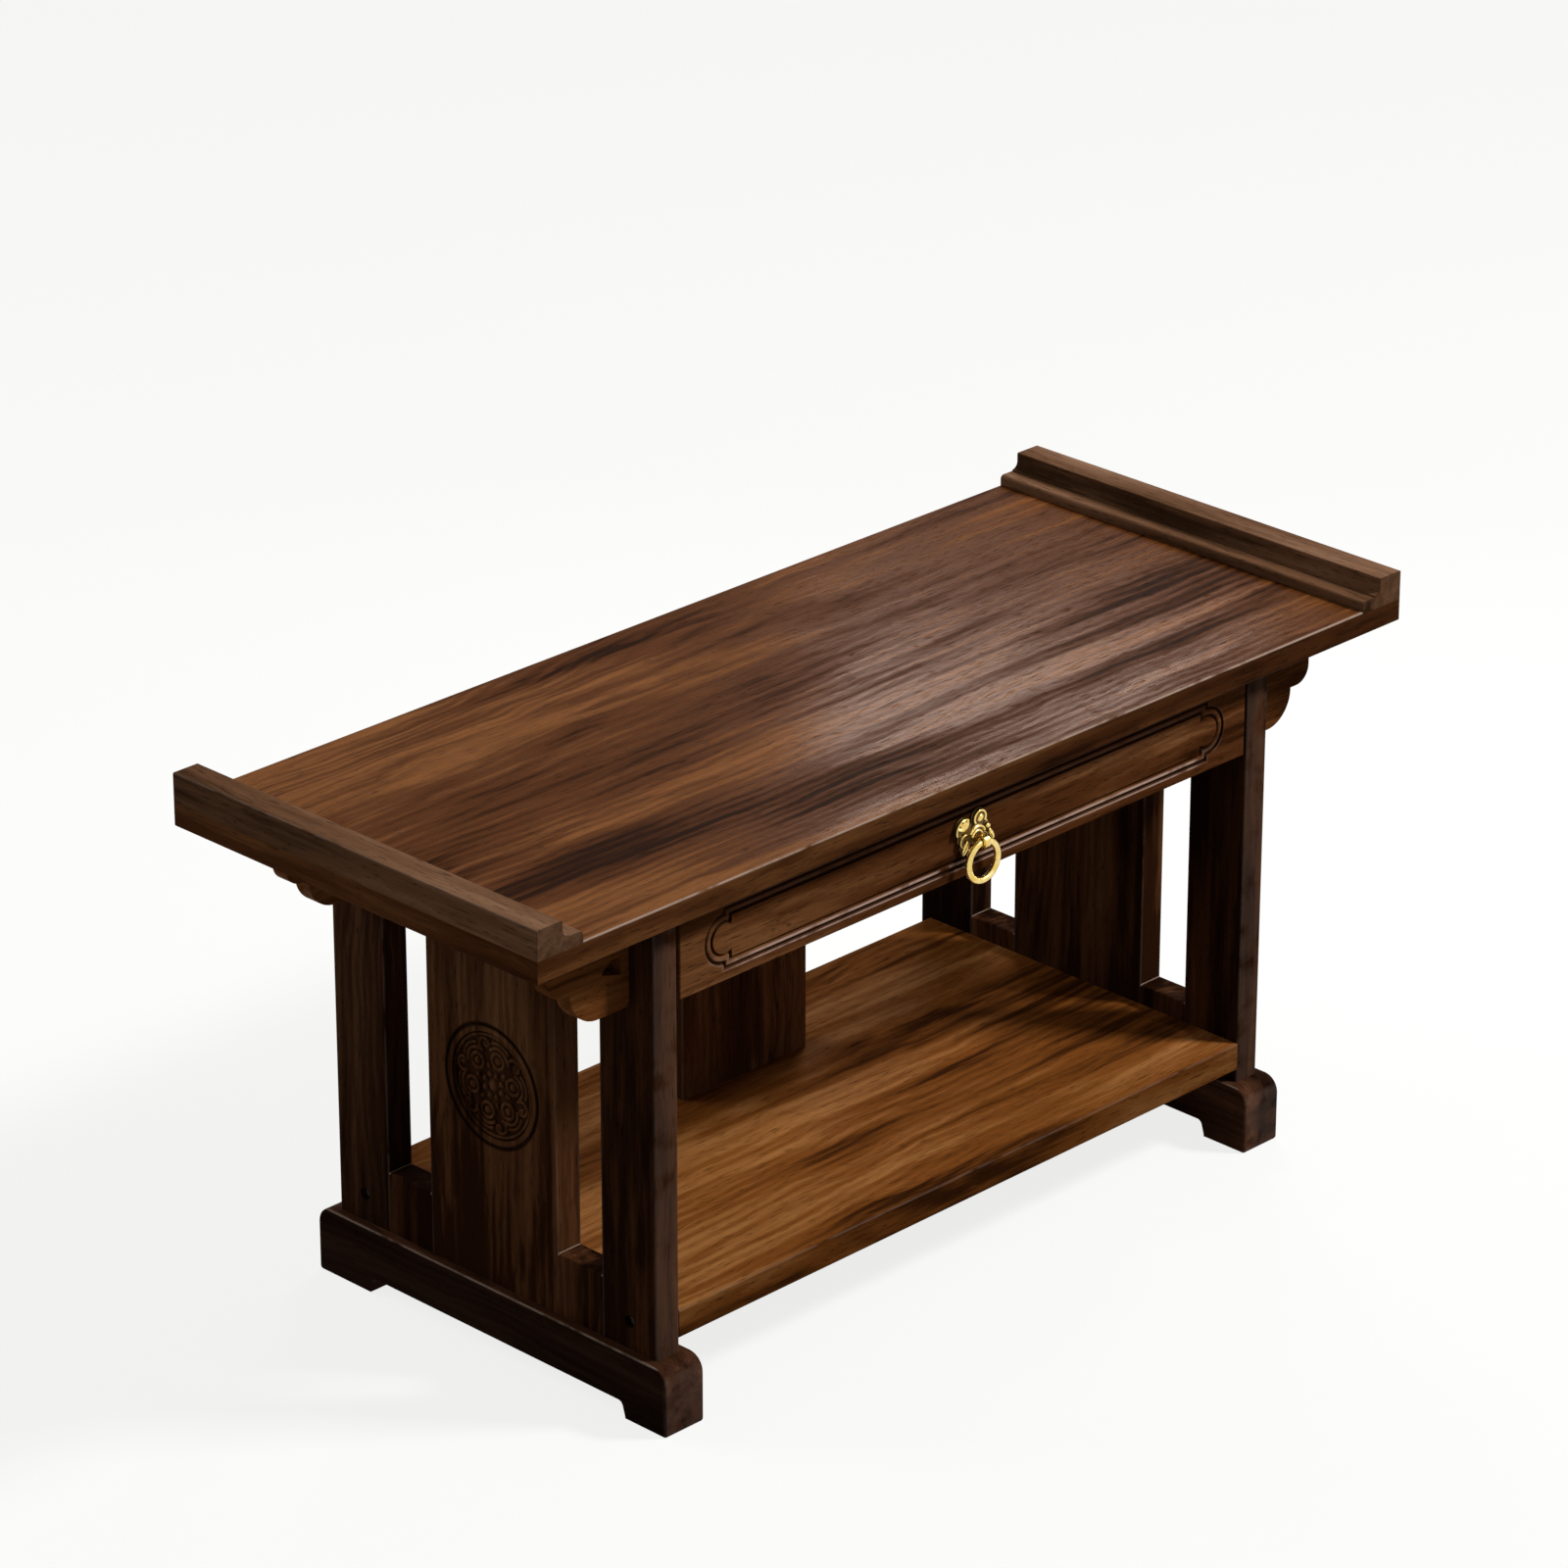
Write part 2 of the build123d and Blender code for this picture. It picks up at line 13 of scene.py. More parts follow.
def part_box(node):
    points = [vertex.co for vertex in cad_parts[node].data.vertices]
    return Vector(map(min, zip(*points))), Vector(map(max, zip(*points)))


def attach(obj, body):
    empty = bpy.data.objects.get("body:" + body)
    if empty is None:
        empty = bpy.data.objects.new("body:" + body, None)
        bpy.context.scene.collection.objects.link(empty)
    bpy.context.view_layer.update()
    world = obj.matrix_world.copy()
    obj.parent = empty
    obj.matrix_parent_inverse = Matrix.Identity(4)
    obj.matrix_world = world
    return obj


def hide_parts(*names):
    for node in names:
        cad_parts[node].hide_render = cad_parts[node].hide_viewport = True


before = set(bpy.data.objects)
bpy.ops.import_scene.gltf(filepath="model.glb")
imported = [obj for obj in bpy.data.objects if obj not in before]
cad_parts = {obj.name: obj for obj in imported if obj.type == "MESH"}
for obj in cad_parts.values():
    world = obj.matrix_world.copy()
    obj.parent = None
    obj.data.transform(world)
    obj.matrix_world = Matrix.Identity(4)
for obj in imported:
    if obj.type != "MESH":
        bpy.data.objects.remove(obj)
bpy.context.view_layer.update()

# %% [markdown]
# A finish is worked out from numbers that change over the surface, such as how far a point lies from the
# heart of the log. Writing that as plain sums is easier to read than wiring nodes by hand, so a small class
# stands for a number in the shader, and each sum on it adds the node that does it.

# %% Sums on shader numbers
class Reading:
    """A number, place or colour that changes over the surface."""

    def __init__(self, wiring, socket):
        self.wiring = wiring
        self.socket = socket

    def sum_node(self, operation, first, second=0.0):
        return self.wiring.add("ShaderNodeMath", {"operation": operation}, {0: first, 1: second})

    def __add__(self, other):
        return self.sum_node("ADD", self, other)

    __radd__ = __add__

    def __sub__(self, other):
        return self.sum_node("SUBTRACT", self, other)

    def __rsub__(self, other):
        return self.sum_node("SUBTRACT", other, self)

    def __mul__(self, other):
        return self.sum_node("MULTIPLY", self, other)

    __rmul__ = __mul__

    def power(self, exponent):
        return self.sum_node("POWER", self, exponent)

    def size(self):
        return self.sum_node("ABSOLUTE", self)

    def wave(self):
        return self.sum_node("SINE", self)

    def least(self, other):
        return self.sum_node("MINIMUM", self, other)

    def most(self, other):
        return self.sum_node("MAXIMUM", self, other)

    def step(self, low, high):
        """0 below low, 1 above high and smooth between."""
        settings = {"interpolation_type": "SMOOTHSTEP"}
        limits = {"Value": self, "From Min": low, "From Max": high}
        return self.wiring.add("ShaderNodeMapRange", settings, limits)


class Wiring:
    """A node tree and the one way that its nodes are added."""

    def __init__(self, owner):
        owner.use_nodes = True
        self.owner = owner
        self.tree = owner.node_tree
        self.tree.nodes.clear()

    def node(self, kind, settings=None, inputs=None):
        made = self.tree.nodes.new(kind)
        for key, value in (settings or {}).items():
            setattr(made, key, value)
        for key, value in (inputs or {}).items():
            if isinstance(value, Reading):
                value = value.socket
            if isinstance(value, bpy.types.NodeSocket):
                self.tree.links.new(value, made.inputs[key])
            elif isinstance(value, tuple) and made.inputs[key].type == "RGBA":
                made.inputs[key].default_value = (*value, 1.0)
            else:
                made.inputs[key].default_value = value
        return made

    def add(self, kind, settings=None, inputs=None, output=0):
        return Reading(self, self.node(kind, settings, inputs).outputs[output])

    def place(self):
        """The point of the surface in the table's own frame."""
        return self.add("ShaderNodeTexCoord", {}, {}, "Object")

    def parts(self, vector):
        made = self.node("ShaderNodeSeparateXYZ", {}, {0: vector})
        return [Reading(self, socket) for socket in made.outputs]

    def vector(self, x, y, z):
        return self.add("ShaderNodeCombineXYZ", {}, {0: x, 1: y, 2: z})

    def noise(self, vector, scale, detail=2.0, roughness=0.5):
        values = {"Vector": vector, "Scale": scale, "Detail": detail, "Roughness": roughness}
        return self.add("ShaderNodeTexNoise", {}, values, "Fac")

    def blend(self, share, first, second):
        """Colour between first and second."""
        settings = {"data_type": "RGBA", "blend_type": "MIX", "clamp_factor": True}
        return self.add("ShaderNodeMix", settings, {0: share, 6: first, 7: second}, 2)

    def seen(self):
        """1 where the camera, a polished face or a clear piece looks, and 0 where light is gathered."""
        path = self.node("ShaderNodeLightPath")
        straight = Reading(self, path.outputs["Is Camera Ray"])
        mirrored = Reading(self, path.outputs["Is Glossy Ray"])
        through = Reading(self, path.outputs["Is Transmission Ray"])
        return straight.most(mirrored).most(through)


def finish(name):
    return Wiring(bpy.data.materials.new(name))


def coat_over(wiring, colour, roughness, height, depth, metallic=0.0, specular=0.5):
    """Send what was worked out to the surface shader."""
    bump = wiring.node("ShaderNodeBump", {}, {"Strength": 1.0, "Distance": depth, "Height": height})
    shader = wiring.node("ShaderNodeBsdfPrincipled", {}, {
        "Base Color": colour, "Roughness": roughness, "Metallic": metallic, "Specular IOR Level": specular,
        "Normal": bump.outputs[0]})
    wiring.node("ShaderNodeOutputMaterial", {}, {"Surface": shader.outputs[0]})
    return wiring.owner


print("shader sums ready")

# %% [markdown]
# Every board was planed from a log, stained dark red-brown and given a satin lacquer. On such a board the
# year rings show as long wavering lines and arches, the pores as fine dark dashes along the grain, and the
# stain lies unevenly in long soft streaks and patches. All of these are noise drawn out along the grain, so
# one table holds how often each pattern changes along and across the board. Each board is shifted through
# the noise by its own amounts, so no two boards repeat.

# %% Grain patterns
MM = 0.001
ALONG_TO_AXES = {"X": (0, 1, 2), "Y": (1, 0, 2), "Z": (2, 0, 1)}

# Changes in a metre along and across the board, detail, roughness, and which two of its shifts it takes
GRAINS = {
    "wander": (4.0, 16.0, 3.0, 0.60, 0, 1),
    "curl": (13.0, 11.0, 2.0, 0.50, 3, 1),
    "sway": (1.6, 2.2, 1.0, 0.50, 2, 3),
    "stain": (2.6, 21.0, 3.0, 0.55, 1, 2),
    "streak": (4.6, 88.0, 4.0, 0.60, 3, 0),
    "fibre": (20.0, 470.0, 3.0, 0.60, 0, 2),
    "pore": (70.0, 1100.0, 2.0, 0.50, 2, 1),
}


def board_places(wiring, node, along, lipped):
    """Places along, across and through a board, counted from its middle.

    The ends of a lipped board are closed with long grain, so there the grain is turned.
    """
    low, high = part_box(node)
    centre = (low + high) / 2
    axes = ALONG_TO_AXES[along]
    place = wiring.parts(wiring.place())
    run, wide, thick = (place[axis] - centre[axis] for axis in axes)
    if not lipped:
        return run, wide, thick
    facing = wiring.parts(wiring.add("ShaderNodeTexCoord", {}, {}, "Normal"))
    turned = facing[axes[0]].size().step(0.80, 0.82)
    return run + turned * (wide - run), wide + turned * (thick - wide), thick + turned * (run - thick)


def grain(wiring, pattern, places, shifts):
    """One pattern of the table above on one board."""
    run_scale, cross_scale, detail, roughness, first, second = GRAINS[pattern]
    run, wide, thick = places
    seed = wiring.vector(run * run_scale + shifts[first], wide * cross_scale + shifts[second],
                         thick * cross_scale + shifts[first])
    return wiring.noise(seed, 1.0, detail, roughness)


print(len(GRAINS), "grain patterns")

# %% [markdown]
# The rings are made as a log has them. The finish measures each point's distance from a heart that lies
# somewhere below the board, bends that distance a little, and turns it into rings. The upper arrises are
# painted paler, partly as wear where hands and cloths touch them and partly as a painted highlight where
# light catches their rounding. The lacquer is given far less mirror than clear glass has: the room is white,
# and at a low angle its reflection would wash the dark wood out to grey.

# %% Stained wood
RING_GAP = 7.5 * MM
RING_WAVER = 17.0
WANDER_REACH, CURL_REACH = 20.0 * MM, 9.0 * MM
SWAY_REACH, DIP_REACH = 100.0 * MM, 30.0 * MM
HEART_SIDES, HEART_DEPTHS = (-0.7, 0.7), (22.0 * MM, 60.0 * MM)
STAIN_SHARE, STREAK_SHARE, RING_SHARE, FIBRE_SHARE = 0.62, 0.44, 0.18, 0.42
TONE_DROP = 0.14
# The hollow tone darkens carving as stain, and edges and faces that get little light as painted shade.
PORE_TONE, STAIN_AND_SHADE_TONE = 0.35, 0.30
# The paler arris tone is partly wear and partly a painted highlight of light on the rounded edges.
ARRIS_WEAR_AND_HIGHLIGHT_TONE = (0.34, 0.245, 0.190)
# The pale tone of the painted highlights.
CREST_HIGHLIGHT_TONE = (0.50, 0.335, 0.265)
# Heights between which the painted shade near the floor fades out.
GROUND_SHADE_HEIGHTS = (30.0 * MM, 260.0 * MM)
ARRIS_BAND = 1.6 * MM
WOOD_BUMP = 0.16 * MM
WOOD_MIRROR = 0.006


def heart_of_log(node, along, chance):
    """How far to the side of the board's middle, and how far below it, the heart of its log lay."""
    low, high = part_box(node)
    half_width = (high - low)[ALONG_TO_AXES[along][1]] / 2
    heart_side = chance.uniform(*HEART_SIDES) * half_width
    heart_depth = chance.uniform(*HEART_DEPTHS)
    return heart_side, heart_depth


def year_rings(wide, thick, heart, wander, sway):
    """A wave from 0 to 1 over each year's ring, about a heart that lies a little crooked."""
    heart_side, heart_depth = heart
    across = wide - heart_side + (sway - 0.5) * SWAY_REACH
    depth = thick + heart_depth + (wander - 0.5) * DIP_REACH
    from_heart = (across * across + depth * depth).power(0.5)
    return (from_heart * (2 * math.pi / RING_GAP) + wander * RING_WAVER).wave() * 0.5 + 0.5


def arris_mask(wiring, node, along):
    """1 within a hair of the edges that run along X, Y or Z: only of the upper ones where they lie level."""
    low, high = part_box(node)
    centre = (low + high) / 2
    half = (high - low) / 2
    place = wiring.parts(wiring.place())
    _, first, second = ALONG_TO_AXES[along]
    from_middle = {axis: place[axis] - centre[axis] for axis in (first, second)}
    out = {axis: from_middle[axis] if axis == 2 else from_middle[axis].size() for axis in from_middle}
    near = [(out[axis] - half[axis]).step(-ARRIS_BAND, -ARRIS_BAND / 4) for axis in (first, second)]
    return near[0] * near[1]


def darker(tone, share):
    return tuple(level * share for level in tone)


def stained_wood(node, along, tones, wear_and_highlight=0.3, gloss=0.42, lipped=False, darkening=None, painted_highlights=None,
                 ground_shade=0.0, wear_and_highlight_along=None):
    """A wood finish for one board, with its grain along X, Y or Z.

    darkening says where the board is darkened with stain and painted shade, and painted_highlights where it
    gets painted highlights. ground_shade is the painted shade towards the floor, wear_and_highlight is how
    pale its arrises are, as wear and painted highlight, and gloss is its roughness where it is palest.
    """
    deep, middle, pale = tones
    chance = random.Random(node)
    wiring = finish("wood_" + node)
    run, wide, thick = board_places(wiring, node, along, lipped)
    shifts = [chance.uniform(-9.0, 9.0) for _ in range(4)]
    wander, curl, sway = (grain(wiring, pattern, (run, wide, thick), shifts)
                          for pattern in ("wander", "curl", "sway"))
    bent = wide + (wander - 0.5) * WANDER_REACH + (curl - 0.5) * CURL_REACH
    ring = year_rings(bent, thick, heart_of_log(node, along, chance), wander, sway)
    stain, streak, fibre, pore = (grain(wiring, pattern, (run, bent, thick), shifts)
                                  for pattern in ("stain", "streak", "fibre", "pore"))
    pore = pore.step(0.58, 0.70)

    tone = (stain.step(0.34, 0.66) * STAIN_SHARE + streak.step(0.26, 0.74) * STREAK_SHARE
            + ring * sway.step(0.35, 0.60) * RING_SHARE - TONE_DROP + (fibre - 0.5) * FIBRE_SHARE)
    # Painted shade: the board is darkened towards the floor.
    if ground_shade:
        _, _, rise = wiring.parts(wiring.place())
        tone = tone - (1 - rise.step(*GROUND_SHADE_HEIGHTS)) * ground_shade
    colour = wiring.blend(tone.step(0.0, 0.50), deep, middle)
    colour = wiring.blend(tone.step(0.46, 1.0), colour, pale)
    colour = wiring.blend(pore * 0.60, colour, darker(deep, PORE_TONE))
    patchy_share = wiring.noise(wiring.place(), 55.0, 3.0).step(0.24, 0.54)
    # Darkening: stain in the carving, and painted shade on edges, ends and faces that get little light.
    if darkening:
        colour = wiring.blend(darkening(wiring), colour, darker(deep, STAIN_AND_SHADE_TONE))
    # Painted highlights where light catches a raised crest or a face turned to it.
    if painted_highlights:
        colour = wiring.blend(painted_highlights(wiring) * patchy_share, colour, CREST_HIGHLIGHT_TONE)
    # Paler arrises: partly wear, partly a painted highlight where light catches the rounding.
    arris = arris_mask(wiring, node, wear_and_highlight_along or along)
    colour = wiring.blend(arris * patchy_share * wear_and_highlight, colour, ARRIS_WEAR_AND_HIGHLIGHT_TONE)

    dull = (1 - tone.step(0.10, 0.75)) * 0.34
    roughness = gloss + dull + (fibre - 0.5) * 0.16 + pore * 0.20 + arris * 0.08
    height = fibre * 0.35 - pore * 0.9 - ring * 0.22
    return coat_over(wiring, colour, roughness, height, WOOD_BUMP, specular=WOOD_MIRROR)


print("wood finish ready")

# %% [markdown]
# Carving holds more stain than a flat face, because the brush fills it and the cloth can't wipe it out, and
# it lies in shade. So the finish also knows where the carving lies: the grooves beside the drawer front's
# raised frame, darkened with stain and painted shade, whose crest carries a painted highlight, and the sunk
# field of the roundel on each side of the table, darkened the same way. Edges, cut ends and faces that get
# little light are darkened with painted shade, and a few faces turned to the light are made paler with
# painted light.

# %% Carved places
FRAME_HALF_LENGTH, FRAME_HALF_HEIGHT = 225.0 * MM, 20.5 * MM
FRAME_END_RADIUS = 16.5 * MM
FRAME_BAND = 5.5 * MM
FRAME_LIP = 1.6 * MM
FRAME_RISE = 321.2 * MM
ROUNDEL_RISE = 188.8 * MM
ROUNDEL_EDGE = 43.4 * MM
ROUNDEL_GROOVE = 42.2 * MM
SIDE_FACE, SIDE_INNER = 286.5 * MM, 266.5 * MM
FRONT_ARRIS = 147.6 * MM
FOOT_FACE, FOOT_REACH = 293.5 * MM, 163.2 * MM
TOP_REACH, TOP_DEPTH = 400.0 * MM, 166.0 * MM
# How dark the painted shade on edges, cut ends and inner faces is.
EDGE_SHADE = 0.42


def from_frame_edge(wiring):
    """How far a place of the drawer front lies outside the carved frame's outer edge."""
    x, _, z = wiring.parts(wiring.place())
    x_from = x.size() - FRAME_HALF_LENGTH
    z_from = z - FRAME_RISE
    panel = x_from.most(z_from.size() - FRAME_HALF_HEIGHT)
    round_end = (x_from * x_from + z_from * z_from).power(0.5) - FRAME_END_RADIUS
    return panel.least(round_end)


def close_to(reading, place, near, far):
    """1 nearer than near to a place and 0 beyond far."""
    return 1 - (reading - place).size().step(near, far)


def on_face(reach, face, skin, ease):
    """1 on a face, less from ease below it and 0 deeper than skin."""
    return reach.step(face - skin, face - ease)


def frame_grooves(wiring):
    """The grooves on both sides of the raised frame, darkened as stain and painted shade."""
    edge = from_frame_edge(wiring)
    outer = close_to(edge, 0.0, 0.5 * MM, 1.2 * MM)
    inner = close_to(edge, -FRAME_BAND, 0.5 * MM, 1.2 * MM)
    return outer.most(inner) * 0.8


def frame_painted_highlights(wiring):
    """Painted highlight on the crest of the raised frame and the lip outside its outer groove, strongest on
    the lower rail, where light catches it, and faint at the frame's ends.
    """
    edge = from_frame_edge(wiring)
    x, _, z = wiring.parts(wiring.place())
    crest = close_to(edge, -FRAME_BAND / 2, 0.4 * MM, 1.4 * MM)
    lip = close_to(edge, FRAME_LIP, 0.3 * MM, 0.9 * MM)
    upper = 1 - (z - FRAME_RISE).step(-18.0 * MM, -6.0 * MM) * 0.9
    inward = 1 - (x.size() - FRAME_HALF_LENGTH).step(-16.0 * MM, -4.0 * MM) * 0.75
    return (crest * 0.85).most(lip * 0.70) * upper * inward


def roundel_stain_and_shade(wiring):
    """The groove round the roundel as painted shadow, its sunk field as stain and painted shade, darkest at
    the bottom, and the painted shade of the board's inner face.
    """
    x, y, z = wiring.parts(wiring.place())
    z_from = z - ROUNDEL_RISE
    out = (y * y + z_from * z_from).power(0.5)
    inside = 1 - out.step(ROUNDEL_EDGE - 0.4 * MM, ROUNDEL_EDGE + 0.2 * MM)
    below = (SIDE_FACE - x.size()).step(0.3 * MM, 2.4 * MM)
    groove = close_to(out, ROUNDEL_GROOVE, 1.3 * MM, 2.3 * MM)
    on_outer_face = 1 - (SIDE_FACE - x.size()).step(4.0 * MM, 5.0 * MM)
    carved = (below * 0.62 * inside).most(groove * 0.72) * on_outer_face
    return carved.most(inner_face_shade(wiring))


def inner_face_shade(wiring):
    """Painted shade on the faces towards the shelf, which get little light."""
    x, _, _ = wiring.parts(wiring.place())
    return (1 - (x.size() - SIDE_INNER).step(0.2 * MM, 1.0 * MM)) * EDGE_SHADE


def foot_outer_face_shade(wiring):
    """Painted shade on the outer faces of the feet."""
    x, _, _ = wiring.parts(wiring.place())
    return on_face(x.size(), FOOT_FACE, 0.8 * MM, 0.2 * MM) * 0.78


def shelf_front_edge_shade(wiring):
    """Painted shade on the shelf's front edge, darker than its top."""
    _, y, _ = wiring.parts(wiring.place())
    return (1 - (y + FRONT_ARRIS).step(-0.4 * MM, 0.9 * MM)) * EDGE_SHADE


def top_edge_shade(wiring):
    """Painted shade on the long edges of the top, and a little on the outer faces of its lipped ends."""
    x, y, _ = wiring.parts(wiring.place())
    long_edges = on_face(y.size(), TOP_DEPTH, 1.2 * MM, 0.3 * MM) * EDGE_SHADE
    return long_edges.most(on_face(x.size(), TOP_REACH, 0.8 * MM, 0.2 * MM) * 0.18)


def moulding_end_shade(wiring):
    """Painted shade on the cut ends of the mouldings, whose front ends face the key lamp."""
    _, y, _ = wiring.parts(wiring.place())
    return on_face(y.size(), TOP_DEPTH, 0.8 * MM, 0.2 * MM) * EDGE_SHADE


def post_front_painted_light(wiring):
    """Painted light on the narrow front faces of the posts."""
    _, y, _ = wiring.parts(wiring.place())
    return (1 - (y + FRONT_ARRIS).step(-0.2 * MM, 1.2 * MM)) * 0.05


def foot_end_painted_light(wiring):
    """Painted light on the ends of the feet."""
    _, y, _ = wiring.parts(wiring.place())
    return on_face(y.size(), FOOT_REACH, 3.0 * MM, 0.5 * MM) * 0.06


print("carved places ready")

# %% [markdown]
# The boards don't all look the same: the shelf is the most orange, the feet are darker than the sides, and
# the drawer's own box and its runners were left plain, as they usually are. The rear posts take a darker copy
# of the side's tones as painted shade, and the brackets a paler one of the drawer front's as painted light.
# One table says which way each board's grain runs and which tones it has. The tones are a deep, a middle and
# a pale one.

# %% Dress the boards
TOP_TONES = ((0.016, 0.0050, 0.0016), (0.083, 0.0260, 0.0066), (0.200, 0.075, 0.022))
SHELF_TONES = ((0.036, 0.0105, 0.0024), (0.190, 0.060, 0.0110), (0.350, 0.145, 0.042))
CENTRE_TONES = ((0.022, 0.0072, 0.0026), (0.092, 0.0350, 0.0130), (0.200, 0.090, 0.036))
FRONT_TONES = ((0.020, 0.0060, 0.0014), (0.078, 0.0250, 0.0070), (0.190, 0.078, 0.028))
# Painted light: the brackets take a paler copy of the drawer front's tones, as if lit under the overhang.
BRACKET_LIT_TONES = ((0.030, 0.0092, 0.0024), (0.150, 0.0500, 0.0125), (0.290, 0.118, 0.040))
SIDE_TONES = ((0.012, 0.0040, 0.0015), (0.056, 0.0200, 0.0075), (0.150, 0.062, 0.024))
CROWN_TONES = ((0.036, 0.0165, 0.0075), (0.120, 0.0560, 0.0270), (0.205, 0.105, 0.056))
# Painted shade: the rear posts take a darker copy of the side's tones.
REAR_SHADED_TONES = ((0.008, 0.0027, 0.0011), (0.031, 0.0115, 0.0045), (0.085, 0.036, 0.015))
FOOT_TONES = ((0.009, 0.0034, 0.0017), (0.044, 0.0165, 0.0080), (0.110, 0.045, 0.022))
INNER_TONES = ((0.150, 0.080, 0.040), (0.300, 0.180, 0.095), (0.420, 0.270, 0.150))

BOARD_LOOKS = {
    "top_board": ("X", TOP_TONES, {"gloss": 0.18, "wear_and_highlight": 1.0, "lipped": True, "darkening": top_edge_shade}),
    "end_moulding": ("Y", CROWN_TONES, {"wear_and_highlight": 0.2, "darkening": moulding_end_shade}),
    "drawer_front": ("X", FRONT_TONES, {"darkening": frame_grooves, "painted_highlights": frame_painted_highlights}),
    "bracket": ("X", BRACKET_LIT_TONES, {}),
    "shelf": ("X", SHELF_TONES, {"wear_and_highlight": 0.15, "darkening": shelf_front_edge_shade}),
    "back_apron": ("X", SIDE_TONES, {}),
    "back_board": ("Z", SIDE_TONES, {}),
    "centre_board": ("Z", CENTRE_TONES, {"darkening": roundel_stain_and_shade, "wear_and_highlight": 0.1, "ground_shade": 0.42}),
    "front_post": ("Z", SIDE_TONES, {"ground_shade": 0.2, "wear_and_highlight": 0.12, "painted_highlights": post_front_painted_light}),
    "rear_post": ("Z", REAR_SHADED_TONES, {"ground_shade": 0.2, "wear_and_highlight": 0.15, "darkening": inner_face_shade}),
    "slot_sill": ("Z", SIDE_TONES, {"wear_and_highlight": 1.0, "wear_and_highlight_along": "X", "ground_shade": 0.2}),
    "slot_header": ("Z", SIDE_TONES, {"wear_and_highlight": 0.0}),
    "foot": ("Y", FOOT_TONES, {"wear_and_highlight": 0.7, "painted_highlights": foot_end_painted_light, "darkening": foot_outer_face_shade}),
    "drawer_side": ("Y", INNER_TONES, {}),
    "drawer_runner": ("Y", INNER_TONES, {}),
    "top_cleat": ("Y", INNER_TONES, {}),
    "drawer_back": ("X", INNER_TONES, {}),
    "drawer_bottom": ("X", INNER_TONES, {}),
    "apron_dowels": ("X", INNER_TONES, {}),
    "back_board_dowels": ("Z", INNER_TONES, {}),
}


def dress(node, material):
    """Give one of the table's solids its finish."""
    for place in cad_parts[node].material_slots:
        place.material = material


def looks_of(node):
    """The row of the longest name in the table above that the solid's name starts with."""
    fitting = [start for start in BOARD_LOOKS if node.startswith(start)]
    return BOARD_LOOKS[max(fitting, key=len)] if fitting else None


wood = {}
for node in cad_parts:
    looks = looks_of(node)
    if looks and not node.endswith("screws"):
        along, tones, extras = looks
        wood[node] = stained_wood(node, along, tones, **extras)
        dress(node, wood[node])
print(len(wood), "boards stained")

# %% [markdown]
# The pull is cast brass, polished on what stands out and left brown in the hollows. Its colour is even, and
# what makes it look like metal is how its roughness changes in small smears, with a faint ripple left by the
# casting. The screws are plain dark steel.

# %% Brass and steel
BRASS_TONES = ((0.78, 0.55, 0.14), (0.92, 0.74, 0.33))
TARNISH_TONE = (0.070, 0.030, 0.006)
STEEL_TONES = ((0.09, 0.085, 0.08), (0.20, 0.19, 0.18))
BRASS_BUMP, STEEL_BUMP = 0.05 * MM, 0.04 * MM


def brass_finish(darkening=None):
    """Polished brass, browned where hollows says so."""
    wiring = finish("brass" if darkening is None else "brass_cast")
    place = wiring.place()
    smear = wiring.noise(place, 180.0, 3.0, 0.6)
    ripple = wiring.noise(place, 420.0, 2.0)
    colour = wiring.blend(smear.step(0.35, 0.75), *BRASS_TONES)
    roughness = smear * 0.16 + 0.15
    if darkening:
        tarnish = darkening(wiring)
        colour = wiring.blend(tarnish, colour, TARNISH_TONE)
        roughness = roughness + tarnish * 0.30
    return coat_over(wiring, colour, roughness, ripple, BRASS_BUMP, metallic=1.0)


def steel_finish():
    wiring = finish("screw_steel")
    smear = wiring.noise(wiring.place(), 300.0, 3.0, 0.6)
    colour = wiring.blend(smear, *STEEL_TONES)
    return coat_over(wiring, colour, smear * 0.2 + 0.3, smear, STEEL_BUMP, metallic=1.0)


brass = brass_finish()
steel = steel_finish()
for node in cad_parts:
    if node.startswith("pull_"):
        dress(node, brass)
    elif node.endswith("screws"):
        dress(node, steel)
print("metal finished")

# %% [markdown]
# The roundel on each side is carved in low relief: a boss in the middle, six small round flowers about it,
# and scrolls that fill the room up to the rim. A carver works it down from the face, but here it is easier
# to lay the raised parts on the sunk field. Two shapes make them all: a low dome, and a round bead swept
# along an arc. Both are made lying flat, in millimetres, and the whole carving is turned onto the side last.

# %% Low domes and beads
BEAD_SIDES = 8
CURL_SHARE, CURL_SWEEP = 0.42, 250.0


def add_dome(drawing, u, v, long_radius, short_radius, height, base, turn=0.0):
    """Half of a flattened ball that stands on the level called base."""
    before = set(drawing.verts)
    made = bmesh.ops.create_uvsphere(drawing, u_segments=18, v_segments=10, radius=1.0)
    corners = made["verts"]
    bmesh.ops.scale(drawing, vec=(long_radius, short_radius, height), verts=corners)
    edges = {edge for corner in corners for edge in corner.link_edges}
    faces = {face for corner in corners for face in corner.link_faces}
    cut = bmesh.ops.bisect_plane(drawing, geom=[*corners, *edges, *faces], plane_co=(0, 0, -0.02 * height),
                                 plane_no=(0, 0, -1), clear_outer=True)
    rim = [item for item in cut["geom_cut"] if isinstance(item, bmesh.types.BMEdge)]
    bmesh.ops.edgeloop_fill(drawing, edges=rim)
    dome = [corner for corner in drawing.verts if corner not in before]
    place = Matrix.Translation((u, v, base)) @ Matrix.Rotation(math.radians(turn), 4, "Z")
    bmesh.ops.transform(drawing, matrix=place, verts=dome)


